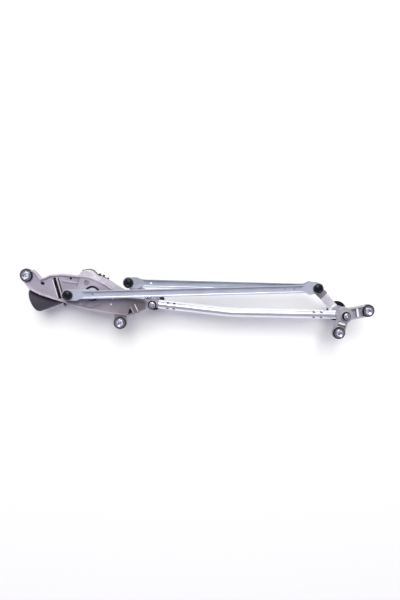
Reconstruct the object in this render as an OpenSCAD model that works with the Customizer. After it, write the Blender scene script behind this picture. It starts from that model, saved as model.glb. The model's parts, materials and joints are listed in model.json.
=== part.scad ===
// Windscreen wiper linkage with motor, in millimetres.
// Origin at the left mount's bolt axis, +X along the linkage, +Z to the link side.

/* [Mounting points] */
// lower mount, right of the left mount
lower_mount_x = 206.5; // [202:0.5:210]
// lower mount, below the left mount
lower_mount_drop = 109; // [107:0.5:113]
// right mount, right of the left mount
right_mount_x = 783; // [777:0.5:790]
// right mount, below the left mount
right_mount_drop = 82; // [78:0.5:86]
// foot mount, right of the left mount
foot_mount_x = 717; // [713:0.5:721]
// foot mount, below the left mount
foot_mount_drop = 134.5; // [132:0.5:138]
// bolt hole radius of the sleeves
sleeve_bore_r = 4.25; // [3.25:0.25:4.5]
// radius of the rubber bushes
grommet_r = 14; // [13:0.2:14.6]

/* [Linkage] */
// crank radius
crank_r = 51; // [48:0.5:53]
// right lever, spindle to ball
right_lever_r = 97; // [94:0.5:100]
// left lever, spindle to ball
left_lever_r = 73; // [70:0.5:76]
// right lever's direction at park
right_lever_deg = 137.5; // [136:0.5:139]
// left lever's direction at park
left_lever_deg = 137; // [135:0.5:138]
// width of the levers
lever_w = 22; // [18:0.5:23]
// half width of the channel links
link_half_w = 8.8; // [7.5:0.1:9.4]
// height of the links' flanges
link_flange_h = 6.4; // [4:0.2:7]
// radius of the joint balls
ball_r = 6.5; // [6:0.1:6.6]

/* [Spindles] */
// left spindle, right of the left mount
left_spindle_x = 281.5; // [279:0.5:284]
// left spindle, below the left mount
left_spindle_drop = 66; // [65:0.5:67]
// right spindle, right of the left mount
right_spindle_x = 728.5; // [726:0.5:731]
// right spindle, below the left mount
right_spindle_drop = 92.5; // [91:0.5:94]
// spindle radius
spindle_r = 7; // [6.5:0.1:7.2]
// thread radius of the arm end
thread_r = 4; // [3.5:0.5:5]
// thread length of the arm end
thread_l = 12; // [10:1:16]
// radius of the black spindle caps
cap_r = 24.5; // [20:0.5:26]

/* [Frame tube] */
// tube radius
tube_r = 10.2; // [9.8:0.1:10.6]
// tube wall
tube_wall = 1.8; // [1.6:0.1:2]
// bend, right of the left mount
bend_x = 460; // [440:1:480]
// bend, below the left mount
bend_drop = 89; // [86:0.5:91]

/* [Motor] */
// output shaft, right of the left mount
motor_x = 145.5; // [144:0.5:147]
// output shaft, below the left mount
motor_drop = 41; // [40:0.5:42]
// tilt of the motor can
motor_turn = 20; // [18:0.5:22]
// can radius
can_r = 29; // [27:0.5:29.5]
// can length
can_l = 66; // [62:0.5:68]
// worm wheel teeth
wheel_teeth = 40; // [36:1:44]

/* [Casting] */
// floor thickness of the bracket
floor_t = 4; // [3.5:0.5:4]
// rim height over the floor
rim_h = 5; // [3:0.5:5.5]
// rim width
rim_w = 3; // [2.5:0.5:4]
// height of the pad that the gear motor is screwed against
pad_h = 2.4; // [1:0.2:2.6]

/* [Hidden] */
$fn = 64;
running_gap = 0.05;
free_gap = 0.3;
bend_bulge = 0.3;
spot = 0.05;
seat_rim = 0.5;

left_spindle = [left_spindle_x, -left_spindle_drop];
right_spindle = [right_spindle_x, -right_spindle_drop];
motor = [motor_x, -motor_drop];
left_mount = [0, 0];
lower_mount = [lower_mount_x, -lower_mount_drop];
right_mount = [right_mount_x, -right_mount_drop];
foot_mount = [foot_mount_x, -foot_mount_drop];

function along(p, r, a) = p + r * [cos(a), sin(a)];
function heading(p, q) = atan2(q[1] - p[1], q[0] - p[0]);

// corners of an anticlockwise outline, moved inwards by d
function left_of(p, q) = [p[1] - q[1], q[0] - p[0]] / norm(q - p);
function inset(points, d) = let (n = len(points)) [for (i = [0 : n - 1])
    let (a = left_of(points[(i + n - 1) % n], points[i]), b = left_of(points[i], points[(i + 1) % n]))
        points[i] + d * (a + b) / (1 + a * b)];

// ball joints at park: the crank stands at its inner dead centre
right_ball = along(right_spindle, right_lever_r, right_lever_deg);
left_ball = along(left_spindle, left_lever_r, left_lever_deg);
crank_deg = heading(motor, right_ball) + 180;
crank_pin = along(motor, crank_r, crank_deg);
drive_l = norm(right_ball - crank_pin);
tie_l = norm(right_ball - left_ball);
drive_deg = heading(crank_pin, right_ball);
tie_deg = heading(left_ball, right_ball);

// heights, from the bracket floor's link side
crank_z = 6.5;
crank_t = 4.5;
drive_web_z = 19;
tie_web_z = 3;
web_t = 1.6;
ball_over_web = 1;
lever_top_z = -4;
lever_t = 5;
base_top_z = -51;
housing_far_z = -50;
housing_near_z = 10;
spindle_near_z = 18;
thread_z = -84;
tube_z = -21;
worm_z = -35;
cover_z = -50;

boss_r = 15;
neck_r = 11;
bush_r = 9.5;
ear_r = 15.2;
ear_far_z = -5;
ear_t = 6;
groove_r = 10.5;
washer_z = 6.2;
sleeve_near_z = 8.8;
sleeve_r = 6.5;
shaft_r = 6;
stud_r = 3.8;
rivet_r = 5;
eye_hole_r = 9;

// worm axis, beside the output shaft
wheel_tip_r = 24.2;
worm_r = 4;
worm_side = wheel_tip_r + worm_r + free_gap;
worm_foot = along(motor, worm_side, motor_turn + 90);
can_mouth = -78;
flange_r = can_r + 1.4;
lug_side = can_r + 5;
housing_r = 36;
seat_z = -floor_t + spot;
screw_ring_r = housing_r - 7;
cover_screw_r = housing_r - 5;
screw_degs = [114, 230, 354];

// bracket outline, anticlockwise from the left ear's underside
bracket_edge = [
    [-12.5, -8], [-1, -22.5], [5.5, -31.5], [14.5, -37], [28, -44], [59, -54.5], [85, -62.5], [98.5, -68.5],
    [124, -76.5], [162, -84.5], [202, -90], [224, -93], [240, -88.5], [274, -74], [276, -57.5], [250, -54.5],
    [226, -50], [208, -40], [191, -29.5], [177, -20], [161, -12], [146, -5.5], [134, -2], [118, -1.5],
    [78, 3], [51, 0.5], [40, -5], [31, -7], [23, 4], [14, 12]
];
// raised pad that the gear motor is screwed against
pad_edge = [[119, -4], [111.5, -27], [113, -68], [140, -74], [180, -60], [188, -36], [161, -15], [134, -5]];

module at(p, z = 0) { translate([p[0], p[1], z]) children(); }

module disc(p, r, z0, z1) { at(p, z0) cylinder(r = r, h = z1 - z0); }

module bar(p, q, w, z0, z1) {
    at(p, z0) rotate(heading(p, q)) translate([0, -w / 2, 0]) cube([norm(q - p), w, z1 - z0]);
}

// a bar with round ends, drawn flat and raised
module round_bar(p, q, w, z0, z1) {
    l = norm(q - p);
    at(p, z0) rotate(heading(p, q)) linear_extrude(z1 - z0) union() {
        circle(r = w / 2);
        translate([0, -w / 2]) square([l, w]);
        translate([l, 0]) circle(r = w / 2);
    }
}

module worm_frame() { at(worm_foot, worm_z) rotate([0, 0, motor_turn]) rotate([0, 90, 0]) children(); }

// a tray-shaped arm of the pivot bracket, with a rib across it
module tray_arm(p, q, w, rib_at) {
    side = (w - rim_w) / 2;
    turn = heading(p, q);
    bar(p, q, w, -9, -4.4);
    for (s = [-1, 1]) bar(along(p, s * side, turn + 90), along(q, s * side, turn + 90), rim_w, -9, 3.5);
    at(along(q, -rib_at, turn)) rotate([90, 0, turn]) translate([0, 0, -side]) linear_extrude(2 * side) polygon(rib_edge);
}

// a rib's cross-section, with its top corners broken
rib_edge = [[-1.9, -9], [1.9, -9], [1.9, 1.2], [0.6, 2.6], [-0.6, 2.6], [-1.9, 1.2]];

// spindle housing, slim where the tube meets it
module spindle_housing(p) {
    disc(p, boss_r, housing_far_z, tube_z - tube_r - 0.8);
    disc(p, neck_r, housing_far_z + 5, housing_near_z);
}

module tube_spigot(p, turn, l) {
    at(p, tube_z) rotate([0, 0, turn]) rotate([0, 90, 0]) cylinder(r = tube_r - tube_wall, h = l);
}

tube_left_deg = heading([left_spindle[0], left_spindle[1] - 2], [bend_x, -bend_drop]);
tube_left = [left_spindle[0], left_spindle[1] - 2];
tube_right = [right_spindle[0], right_spindle[1] - 2.8];
tube_right_deg = heading(tube_right, [bend_x, -bend_drop]);
tube_bend = [bend_x, -bend_drop];

// an ear's hole, with a shallow spot face each side for the bush
module ear_cut(p) {
    disc(p, groove_r, -30, 30);
    disc(p, grommet_r + seat_rim, ear_far_z + ear_t - spot, 30);
    disc(p, grommet_r + seat_rim, -30, ear_far_z + spot);
}

module motor_bracket() color([0.62, 0.6, 0.63]) difference() {
    union() {
        translate([0, 0, -floor_t]) linear_extrude(floor_t) polygon(bracket_edge);
        // rim and skirt round the floor
        translate([0, 0, -9]) linear_extrude(9 + rim_h) difference() {
            polygon(bracket_edge);
            polygon(inset(bracket_edge, rim_w));
        }
        linear_extrude(pad_h) polygon(pad_edge);
        disc(left_mount, ear_r, ear_far_z, ear_far_z + ear_t);
        // drafted flank from the gear motor to the spindle
        for (i = [16 : 19]) flank(bracket_edge[i], bracket_edge[i + 1]);
        // arm of the lower mount
        bar([lower_mount[0] + 1, -89], lower_mount, 2 * ear_r - 3, -9.4, 0.6);
        disc(lower_mount, ear_r, ear_far_z, ear_far_z + ear_t);
        spindle_housing(left_spindle);
        tube_spigot(tube_left, tube_left_deg, 44);
        // ribs
        round_bar([79, -12], [112, -17.5], 3, -1, 2.6);
        round_bar([241, -66], [249, -84.5], 3, -1, 4);
        round_bar([232, -72], [239, -87], 2.4, -1, 3);
        round_bar(slot_rib[0], slot_rib[1], slot_rib_w + 1, -1, 3.6);
        round_bar(slot_edge[0], slot_edge[1], 2.4, -1, 2.4);
        // deep pocket in the lower edge
        translate([0, 0, -pocket_h]) linear_extrude(pocket_h - 1) polygon(inset(pocket, -rim_w));
        round_bar([250, -55.5], [268, -60.5], 4, -8, rim_h - 0.8);
    }
    for (p = [left_mount, lower_mount]) ear_cut(p);
    disc(left_spindle, bush_r, -80, 30);
    disc(motor, 17.5, -30, 30);
    // room for the gear motor behind the floor
    disc(motor, housing_r + free_gap, cover_z - 1, seat_z);
    translate([0, 0, cover_z - 1]) linear_extrude(worm_end_h + 1 + free_gap) polygon(inset(worm_end, free_gap));
    worm_frame() translate([0, 0, can_mouth - can_l - 9]) cylinder(r = can_r + free_gap, h = can_l + 10);
    worm_frame() translate([0, 0, can_mouth - free_gap]) cylinder(r = flange_r + free_gap, h = 6 + 2 * free_gap);
    for (a = screw_degs) disc(along(motor, screw_ring_r, a), 3.3, -30, 30);
    round_bar(slot[0], slot[1], slot_w, -30, 30);
    round_bar(thin_slot[0], thin_slot[1], thin_slot_w, -30, 30);
    round_bar([33, -18], [35.5, -18.8], 7, -30, 30);
    disc([97.7, -7.4], 2.8, -30, 30);
    disc([190.4, -53.2], 2.2, -30, 30);
    disc([186.7, -66.6], 2.6, -30, 30);
    translate([0, 0, rim_w - pocket_h]) linear_extrude(60) polygon(pocket);
}

// slot over the motor's neck, with a rib and a thin slot beside it
slot = [[62, -9], [72, -50]];
slot_w = 8;
slot_rib_w = 3;
thin_slot_w = 2.2;
slot_deg = heading(slot[0], slot[1]);
slot_rib = [for (p = slot) along(p, (slot_w + slot_rib_w) / 2, slot_deg + 90)];
thin_slot = [for (p = slot) along(p, slot_w / 2 + slot_rib_w + thin_slot_w / 2, slot_deg + 90)];
slot_edge = [for (p = slot) along(p, slot_w / 2 + 0.4, slot_deg - 90)];
pocket = [[225.5, -90], [236, -86.5], [231, -77.5], [227, -78.5]];
pocket_h = 26;

// one leaning wall under the upper edge
module flank(p, q) {
    at(p, 2) rotate(heading(p, q)) translate([0, rim_w / 2, 0]) rotate([-10, 0, 0])
        translate([-1, -3, -32]) cube([norm(q - p) + 2, 3, 32]);
}

module pivot_bracket() color([0.66, 0.65, 0.68]) difference() {
    union() {
        spindle_housing(right_spindle);
        tube_spigot(tube_right, tube_right_deg, 44);
        tray_arm(right_spindle, right_mount, 27, 25);
        tray_arm(right_spindle, foot_mount, 25, 22.5);
        for (p = [right_mount, foot_mount]) disc(p, ear_r, ear_far_z, ear_far_z + ear_t);
        disc(right_spindle, 18.5, tube_z + tube_r + 0.6, 4);
    }
    for (p = [right_mount, foot_mount]) ear_cut(p);
    disc(right_spindle, bush_r, -80, 30);
}

// the tube stops just short of the spindle housings
tube_start = neck_r + free_gap + 1;

// a straight run of the tube from the bracket at p to the bend
module tube_run(p, turn, r, before) {
    l = norm(tube_bend - p) - tube_start;
    at(along(p, tube_start - before, turn), tube_z) rotate([0, 0, turn]) rotate([0, 90, 0])
        cylinder(r = r, h = l + before);
}

module bend_ball(r) { at(tube_bend, tube_z) rotate([0, 0, tube_left_deg]) rotate([0, 90, 0]) sphere(r = r); }

// crimp dents that hold the tube on a spigot
module dents(p, turn) {
    for (l = [28, 40]) for (a = [-48, 48])
        at(along(p, l, turn), tube_z) rotate([0, 0, turn]) rotate([a, 0, 0])
            translate([0, 0, tube_r + 1.7]) sphere(r = 3.2, $fn = 32);
}

module frame_tube() color([0.82, 0.83, 0.86]) difference() {
    union() {
        tube_run(tube_left, tube_left_deg, tube_r, 0);
        tube_run(tube_right, tube_right_deg, tube_r, 0);
        // the bend bulges a little
        bend_ball(tube_r + bend_bulge);
    }
    tube_run(tube_left, tube_left_deg, tube_r - tube_wall, 1);
    tube_run(tube_right, tube_right_deg, tube_r - tube_wall, 1);
    bend_ball(tube_r - tube_wall + bend_bulge);
    dents(tube_left, tube_left_deg);
    dents(tube_right, tube_right_deg);
}

module grommet(p) color([0.2, 0.2, 0.22]) at(p) rotate_extrude() polygon([
    [sleeve_r, -9.5], [grommet_r - 1.6, -9.5], [grommet_r, -8], [grommet_r, ear_far_z], [groove_r, ear_far_z],
    [groove_r, ear_far_z + ear_t], [grommet_r, ear_far_z + ear_t], [grommet_r, washer_z - 0.9],
    [grommet_r - 0.7, washer_z], [sleeve_r, washer_z]
]);

module left_grommet() grommet(left_mount);
module lower_grommet() grommet(lower_mount);
module right_grommet() grommet(right_mount);
module foot_grommet() grommet(foot_mount);

module sleeve(p) color([0.86, 0.88, 0.92]) at(p) rotate_extrude() polygon([
    [sleeve_bore_r, -10], [sleeve_r, -10], [sleeve_r, washer_z], [grommet_r - 1.5, washer_z],
    [grommet_r - 1.5, washer_z + 1.2], [9.2, washer_z + 1.2], [9.2, washer_z + 0.8], [8.5, washer_z + 0.8],
    [7.4, sleeve_near_z], [sleeve_bore_r, sleeve_near_z]
]);

module left_sleeve() sleeve(left_mount);
module lower_sleeve() sleeve(lower_mount);
module right_sleeve() sleeve(right_mount);
module foot_sleeve() sleeve(foot_mount);

module spindle_bushes(p) color([0.6, 0.5, 0.35]) for (z = [housing_far_z, housing_near_z - 16])
    at(p, z) difference() {
        cylinder(r = bush_r, h = 16);
        translate([0, 0, -1]) cylinder(r = spindle_r + running_gap, h = 18);
    }

module left_spindle_bushes() spindle_bushes(left_spindle);
module right_spindle_bushes() spindle_bushes(right_spindle);

// outline of the worm's end of the gear housing
worm_end = [[112, -3], [119, 7], [131, 8.6], [139.8, 5.2], [148, -3], [159, -9.6], [160, -41], [112, -41]];
worm_end_h = 38;

module gear_housing() color([0.74, 0.74, 0.76]) difference() {
    union() {
        disc(motor, housing_r, cover_z, seat_z);
        disc(motor, 12.5, -floor_t - 1, 4);
        translate([0, 0, cover_z]) linear_extrude(worm_end_h) polygon(worm_end);
        intersection() {
            worm_frame() {
                translate([0, 0, -40]) cylinder(r = 22, h = 44);
                translate([0, 0, can_mouth + 2]) cylinder(r = 18, h = 50);
                cylinder(r = 9.2, h = 17);
            }
            at(motor, cover_z) translate([-200, -200, 0]) cube([400, 400, -9 - cover_z]);
        }
        worm_frame() translate([0, 0, can_mouth + 2]) {
            cylinder(r = flange_r, h = 4);
            for (s = [-1, 1]) translate([0, s * lug_side, 0]) cylinder(r = 5.5, h = 4);
        }
    }
    // room for the worm wheel, the worm and the shafts
    disc(motor, 26, cover_z - 1, -25);
    disc(motor, bush_r, -26, 5);
    worm_frame() translate([0, 0, can_mouth - 1]) cylinder(r = 6.5, h = 15.5 + 1 - can_mouth);
    worm_frame() for (s = [-1, 1]) translate([0, s * lug_side, can_mouth]) cylinder(r = 2.5, h = 12);
    for (a = screw_degs) disc(along(motor, screw_ring_r, a), 3, -18, 0);
    for (a = [60, 300]) disc(along(motor, cover_screw_r, a), 2, cover_z - 1, cover_z + 9);
}

module gear_cover() color([0.12, 0.12, 0.13]) difference() {
    union() {
        disc(motor, housing_r + 1.6, cover_z - 4, cover_z);
        translate([0, 0, cover_z - 4]) linear_extrude(4) polygon([
            [88, -10], [111.5, 0], [118, 8.4], [131, 10.2], [140.8, 6.6], [149.2, -2.2], [160, -8.6], [160, -41],
            [98, -36]
        ]);
        // clip tabs on the rim
        for (a = [77, 63, 46]) at(motor, cover_z - 4) rotate(a) translate([housing_r, -2.2, 0]) cube([5, 4.4, 7]);
        translate([114, 3.2, cover_z - 4]) rotate(52) translate([0, -2, 0]) cube([4.6, 4, 7]);
    }
    disc(motor, housing_r, cover_z, 0);
    translate([0, 0, cover_z]) linear_extrude(20) polygon(worm_end);
    for (a = [60, 300]) disc(along(motor, cover_screw_r, a), 2, cover_z - 9, cover_z + 1);
}

module cover_screws() color([0.7, 0.7, 0.72]) for (a = [60, 300]) {
    disc(along(motor, cover_screw_r, a), 2, cover_z - 4, cover_z + 8);
    disc(along(motor, cover_screw_r, a), 3.8, cover_z - 6.4, cover_z - 4);
}

module output_bush() color([0.6, 0.5, 0.35]) difference() {
    disc(motor, bush_r, -25, 4);
    disc(motor, shaft_r + running_gap, -30, 10);
}

module output_seal() color([0.1, 0.1, 0.1]) difference() {
    disc(motor, 17, seat_z, -1);
    disc(motor, 12.5, -10, 10);
}

// black housing of the brushes round the motor's neck, with its cable ducts along the bracket
module brush_housing() color([0.13, 0.13, 0.14]) worm_frame() difference() {
    union() {
        translate([0, 0, can_mouth + 6]) linear_extrude(16) polygon(
            [[duct_top, -24], [duct_top, 34], [10, 34], [22, 24], [22, -22], [14, -30], [-16, -30]]);
        translate([0, 0, can_mouth + 20]) linear_extrude(27) translate([duct_top, 14]) square([8, 10]);
        translate([0, 0, can_mouth - 34]) linear_extrude(50) translate([duct_top, can_r + 0.5]) square([16.5, 7.5]);
    }
    translate([0, 0, can_mouth]) cylinder(r = 18.1, h = 40);
    translate([0, 0, can_mouth - 1]) cylinder(r = flange_r + free_gap, h = 7);
}

// the ducts lie this far above the worm axis, just under the bracket's skirt
duct_top = worm_z + 9.5;

module motor_can() color([0.1, 0.1, 0.11]) worm_frame() translate([0, 0, can_mouth]) {
    rotate_extrude() polygon([
        [0, -can_l - 4.5], [6.5, -can_l - 4.5], [9, -can_l - 3], [9.6, -can_l], [can_r - 7, -can_l],
        [can_r - 2.6, -can_l + 1.8], [can_r, -can_l + 6], [can_r, 0], [flange_r, 0], [flange_r, 2],
        [can_r - 1.6, 2], [can_r - 1.6, -can_l + 7], [can_r - 3.6, -can_l + 3], [can_r - 7, -can_l + 1.6],
        [7.5, -can_l + 1.6], [7.5, -can_l - 2.9], [0, -can_l - 2.9]
    ]);
    for (s = [-1, 1]) difference() {
        translate([0, s * lug_side, 0]) cylinder(r = 5.5, h = 2);
        cylinder(r = can_r + 1, h = 9, center = true);
        translate([0, s * lug_side, 0]) cylinder(r = 2.5, h = 9, center = true);
    }
}

module can_screws() color([0.7, 0.7, 0.72]) worm_frame() for (s = [-1, 1])
    translate([0, s * lug_side, can_mouth - 3]) {
    cylinder(r = 4.4, h = 3);
    translate([0, 0, 3]) cylinder(r = 2.5, h = 6);
}

module motor_magnets() color([0.25, 0.25, 0.27]) worm_frame() for (a = [25, 205])
    translate([0, 0, can_mouth - can_l + 14]) rotate(a) rotate_extrude(angle = 130)
        translate([can_r - 7.5, 0]) square([5.9, can_l - 26]);

module brush_plate() color([0.35, 0.3, 0.22]) worm_frame() translate([0, 0, can_mouth - 10]) difference() {
    union() {
        difference() {
            cylinder(r = can_r - 1.6, h = 3);
            translate([0, 0, -1]) cylinder(r = 10.6, h = 5);
        }
        for (a = [0, 180]) rotate(a) translate([10.6, -4, 3]) cube([13, 8, 5]);
    }
    translate([0, 0, 2]) cylinder(r = 10.6, h = 9);
}

module rotor_bearings() color([0.6, 0.5, 0.35]) worm_frame() {
    for (span = [[can_mouth - can_l - 2.9, 4.5, 7.5], [11.5, 4, 6.5]]) translate([0, 0, span[0]]) difference() {
        cylinder(r = span[2], h = span[1]);
        translate([0, 0, -1]) cylinder(r = 3 + running_gap, h = span[1] + 2);
    }
}

module motor_screws() color([0.75, 0.75, 0.78]) for (a = screw_degs) at(along(motor, screw_ring_r, a)) {
    translate([0, 0, -17]) cylinder(r = 3, h = 17 + pad_h);
    difference() {
        translate([0, 0, pad_h]) cylinder(r = 5.6, h = 2.8);
        translate([0, 0, pad_h + 1.2]) cylinder(r = 2.9, h = 4, $fn = 6);
    }
}

// the connector sits on the corner of the gear housing
connector_in = 5.5;
connector_p = [motor[0] + housing_r - connector_in, motor[1] - housing_r + 5, worm_z - 9];
connector_size = [27, 20, 16];

module connector_shell() color([0.13, 0.13, 0.14]) difference() {
    translate(connector_p - [8, 0, 0]) cube(connector_size + [8, 0, 0]);
    translate(connector_p + [6, 2, 2]) cube(connector_size - [0, 4, 4]);
    disc(motor, housing_r, -60, 0);
    for (y = [6, 10, 14]) translate(connector_p + [3, y - 0.8, 5]) cube([4, 1.6, 6]);
}

module connector_pins() color([0.75, 0.65, 0.4]) for (y = [6, 10, 14])
    translate(connector_p + [3, y - 0.8, 5]) cube([9, 1.6, 6]);

module output_shaft() color([0.75, 0.75, 0.78]) {
    disc(motor, shaft_r, -46, crank_z + crank_t);
    disc(motor, thread_r, -40, 17.6);
}

module worm_wheel() color([0.85, 0.83, 0.75]) difference() {
    union() {
        disc(motor, wheel_tip_r - 2.6, worm_z - 6, worm_z + 6);
        for (i = [0 : wheel_teeth - 1]) at(motor, worm_z - 5) rotate(i * 360 / wheel_teeth)
            linear_extrude(10) polygon([[20, -1.1], [wheel_tip_r, -0.55], [wheel_tip_r, 0.55], [20, 1.1]]);
    }
    disc(motor, shaft_r, -50, 0);
}

module crank_arm() color([0.66, 0.67, 0.7]) at(motor, crank_z) rotate(crank_deg) linear_extrude(crank_t) difference() {
    union() {
        circle(r = 12.5);
        translate([0, -10]) square([crank_r, 20]);
        translate([crank_r, 0]) circle(r = 10);
    }
    circle(r = shaft_r);
    translate([crank_r, 0]) circle(r = rivet_r);
}

module crank_nut() color([0.72, 0.72, 0.74]) at(motor, crank_z + crank_t) difference() {
    union() {
        cylinder(r = 7.4, h = 5, $fn = 6);
        cylinder(r = 8.2, h = 1.4);
    }
    translate([0, 0, -1]) cylinder(r = thread_r, h = 9);
}

// a ball on its neck and collar, over a plate at z
module ball_stud(p, ball_z, plate_z, down) {
    at(p, ball_z) sphere(r = ball_r);
    disc(p, stud_r, plate_z, ball_z);
    disc(p, 7, plate_z, plate_z + 0.9);
    if (down > 0) disc(p, rivet_r, plate_z - down, plate_z);
}

module crank_ball() color([0.78, 0.78, 0.8])
    ball_stud(crank_pin, drive_web_z + ball_over_web, crank_z + crank_t, crank_t);

module rotor_shaft() color([0.72, 0.72, 0.74]) worm_frame() {
    translate([0, 0, can_mouth - can_l - 2.4]) cylinder(r = 3, h = can_l + 2.4 - can_mouth + 15.2);
    // worm threads, leaning by the lead angle
    intersection() {
        translate([0, 0, -10]) cylinder(r = worm_r, h = 19.5);
        for (i = [-3 : 2]) translate([0, 0, i * 3.2 + 1.2]) rotate([8, 0, 0])
            translate([0, 0, -0.6]) cylinder(r = worm_r + 1, h = 1.2);
    }
}

module rotor_core() color([0.45, 0.42, 0.4]) worm_frame() translate([0, 0, can_mouth - can_l + 16]) difference() {
    cylinder(r = can_r - 8.4, h = can_l - 32);
    for (a = [0 : 30 : 330]) rotate(a) translate([can_r - 13.5, -1.1, -1]) cube([8, 2.2, can_l]);
    translate([0, 0, -1]) cylinder(r = 3, h = can_l);
}

module commutator() color([0.75, 0.5, 0.32]) worm_frame() translate([0, 0, can_mouth - 15]) difference() {
    cylinder(r = 10, h = 14);
    translate([0, 0, -1]) cylinder(r = 3, h = 20);
}

// pressed channel with a flat eye at each end, along +X from its first eye
module channel(l, z, eye_a, eye_b, marks) {
    flat_l = 29;
    difference() {
        translate([0, 0, z]) {
            cylinder(r = eye_a, h = web_t);
            translate([l, 0, 0]) cylinder(r = eye_b, h = web_t);
            linear_extrude(web_t) polygon([
                [4, eye_a - 0.7], [20, eye_a - 1.4], [flat_l, link_half_w], [l - flat_l, link_half_w],
                [l - 20, eye_b - 1.4], [l - 4, eye_b - 0.5], [l - 4, 0.5 - eye_b], [l - 20, 1.4 - eye_b],
                [l - flat_l, -link_half_w], [flat_l, -link_half_w], [20, 1.4 - eye_a], [4, 0.7 - eye_a]
            ]);
            // folded flanges with sloped ends
            for (s = [0, 1]) mirror([0, s, 0]) translate([0, link_half_w, 0]) rotate([90, 0, 0])
                linear_extrude(web_t) polygon([
                    [flat_l, 0], [flat_l + 9, web_t + link_flange_h], [l - flat_l - 9, web_t + link_flange_h],
                    [l - flat_l, 0]
                ]);
        }
        for (x = [0, l]) translate([x, 0, z - 1]) cylinder(r = eye_hole_r, h = 9);
        for (x = marks) translate([x, 0, z - 1]) cylinder(r = 1.7, h = 9);
    }
}

module drive_bar() color([0.66, 0.7, 0.76]) at(crank_pin) rotate(drive_deg)
    channel(drive_l, drive_web_z, 13.6, 15, [55, drive_l - 76, drive_l - 54]);

module tie_bar() color([0.7, 0.73, 0.78]) at(left_ball) rotate(tie_deg)
    channel(tie_l, tie_web_z, 13.6, 15, [51]);

// plastic ball socket pressed into a link's eye; room is the gap round the ball
module socket(p, web_z, room, open_top) {
    b = web_z + ball_over_web;
    at(p) difference() {
        rotate_extrude() polygon([
            [0, web_z - 5], [9.4, web_z - 5], [10.6, web_z - 3.4], [10.6, web_z], [eye_hole_r, web_z],
            [eye_hole_r, web_z + web_t], [11.6, web_z + web_t], [11.6, web_z + 5.8],
            [10.2, web_z + (open_top ? 8.4 : 9.4)], [7.6, web_z + (open_top ? 8.7 : 10.4)],
            [0, web_z + (open_top ? 8.7 : 10.9)]
        ]);
        translate([0, 0, b]) sphere(r = ball_r + room);
        translate([0, 0, web_z - 6]) cylinder(r = 5, h = 5);
        if (open_top) translate([0, 0, b]) cylinder(r = 5, h = 20);
        else rotate_extrude() translate([5.4, web_z + 10]) square([1.6, 3]);
    }
}

module drive_crank_socket() color([0.08, 0.08, 0.09]) socket(crank_pin, drive_web_z, free_gap, false);
module drive_lever_socket() color([0.08, 0.08, 0.09]) socket(right_ball, drive_web_z, 0, false);
module tie_left_socket() color([0.08, 0.08, 0.09]) socket(left_ball, tie_web_z, 0, false);
module tie_right_socket() color([0.08, 0.08, 0.09]) socket(right_ball, tie_web_z, free_gap, true);

// upper half of the right lever's double ball, opened just over the lower half
module drive_lever_ball() color([0.78, 0.78, 0.8]) {
    at(right_ball, drive_web_z + ball_over_web) sphere(r = ball_r);
    disc(right_ball, stud_r, tie_web_z + 9 + free_gap, drive_web_z + ball_over_web);
}

module right_lever_ball() color([0.78, 0.78, 0.8]) {
    ball_stud(right_ball, tie_web_z + ball_over_web, lever_top_z, lever_t);
    disc(right_ball, stud_r, tie_web_z + ball_over_web, tie_web_z + 9);
}

// the left ball rides in the tie link, just clear of the left lever
module tie_left_ball() color([0.78, 0.78, 0.8])
    ball_stud(left_ball, tie_web_z + ball_over_web, lever_top_z + free_gap, 0);

// joggled lever along +X from the spindle to the ball
module lever(p, turn, l, base_l, end_l, riveted) at(p) rotate(turn) difference() {
    rise = lever_top_z - base_top_z;
    run = l - end_l - base_l;
    lean = lever_t * tan(atan2(rise, run) / 2);
    union() {
        rotate([90, 0, 0]) translate([0, 0, -lever_w / 2]) linear_extrude(lever_w) polygon([
            [0, base_top_z - lever_t], [base_l, base_top_z - lever_t], [l - end_l, lever_top_z - lever_t],
            [l, lever_top_z - lever_t], [l, lever_top_z], [l - end_l - lean, lever_top_z],
            [base_l - lean, base_top_z], [0, base_top_z]
        ]);
        translate([0, 0, base_top_z - lever_t]) cylinder(r = 14, h = lever_t);
        translate([l, 0, lever_top_z - lever_t]) cylinder(r = lever_w / 2, h = lever_t);
    }
    translate([0, 0, base_top_z - 9]) cylinder(r = spindle_r, h = 20);
    if (riveted) translate([l, 0, lever_top_z - 9]) cylinder(r = rivet_r, h = 20);
}

module right_lever() color([0.6, 0.58, 0.6])
    lever(right_spindle, right_lever_deg, right_lever_r, 21, 23, true);
module left_lever() color([0.6, 0.58, 0.6])
    lever(left_spindle, left_lever_deg, left_lever_r, 20, 20, false);

module spindle_shaft(p) color([0.78, 0.79, 0.82]) at(p) rotate_extrude() polygon([
    [0, thread_z - thread_l], [thread_r, thread_z - thread_l], [thread_r, thread_z], [5.4, thread_z],
    [6.3, thread_z + 10], [spindle_r, thread_z + 10], [spindle_r, spindle_near_z - 0.8],
    [spindle_r - 0.8, spindle_near_z], [0, spindle_near_z]
]);

module right_spindle_shaft() spindle_shaft(right_spindle);
module left_spindle_shaft() spindle_shaft(left_spindle);

module spindle_cap(p) color([0.07, 0.07, 0.08]) at(p) rotate_extrude() polygon([
    [spindle_r, base_top_z - lever_t - 10], [12, base_top_z - lever_t - 10], [cap_r - 1.2, base_top_z - lever_t - 5],
    [cap_r, base_top_z - lever_t - 3.6], [cap_r, base_top_z - lever_t - 1], [cap_r - 1, base_top_z - lever_t],
    [spindle_r, base_top_z - lever_t]
]);

module right_spindle_cap() spindle_cap(right_spindle);
module left_spindle_cap() spindle_cap(left_spindle);

module end_ring(p) color([0.06, 0.06, 0.07]) at(p) rotate_extrude() polygon([
    [spindle_r, housing_near_z + free_gap], [9.8, housing_near_z + free_gap], [9.8, 14.4], [8.8, 15.6],
    [spindle_r, 15.6]
]);

module right_end_ring() end_ring(right_spindle);
module left_end_ring() end_ring(left_spindle);

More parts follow.
